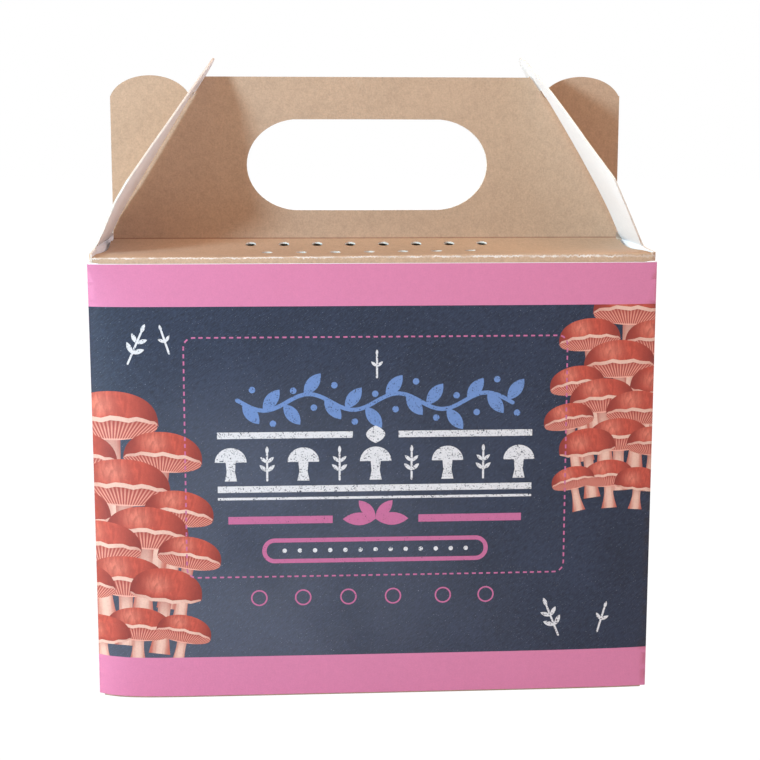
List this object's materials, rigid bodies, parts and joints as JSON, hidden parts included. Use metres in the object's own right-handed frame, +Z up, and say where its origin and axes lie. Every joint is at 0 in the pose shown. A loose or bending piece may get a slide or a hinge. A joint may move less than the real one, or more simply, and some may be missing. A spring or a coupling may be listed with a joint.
{
  "type": "mushroom grow kit carton",
  "caption": "Folded board carry carton of a mushroom grow kit: double handle with hand hole, slotted lock flaps, printed card sleeve, grow bag inside.",
  "frame": {"origin": "on the surface that the carton stands on, under the middle of the carton", "axes": "+Z up, -Y towards the printed front, +X to the right as seen from the front"},
  "size_m": [0.2216, 0.1196, 0.2546],
  "materials": {
    "kraft_board": "uncoated brown outside, white inside",
    "printed_card": "matt print",
    "bag_film": "soft film"
  },
  "bodies": {
    "carton": {"carton_body": "kraft_board", "front_handle_leaf": "kraft_board", "back_handle_leaf": "kraft_board", "printed_sleeve": "printed_card", "grow_bag": "bag_film"},
    "left_flap": {"left_lock_flap": "kraft_board"},
    "right_flap": {"right_lock_flap": "kraft_board"}
  },
  "joints": [
    {"name": "left_flap_fold", "type": "hinge", "parent": "carton", "child": "left_flap", "pos_m": [-0.11, 0, 0.1795], "axis": [0, -1, 0], "range_deg": [0, 180]},
    {"name": "right_flap_fold", "type": "hinge", "parent": "carton", "child": "right_flap", "pos_m": [0.11, 0, 0.1795], "axis": [0, 1, 0], "range_deg": [0, 180]}
  ]
}
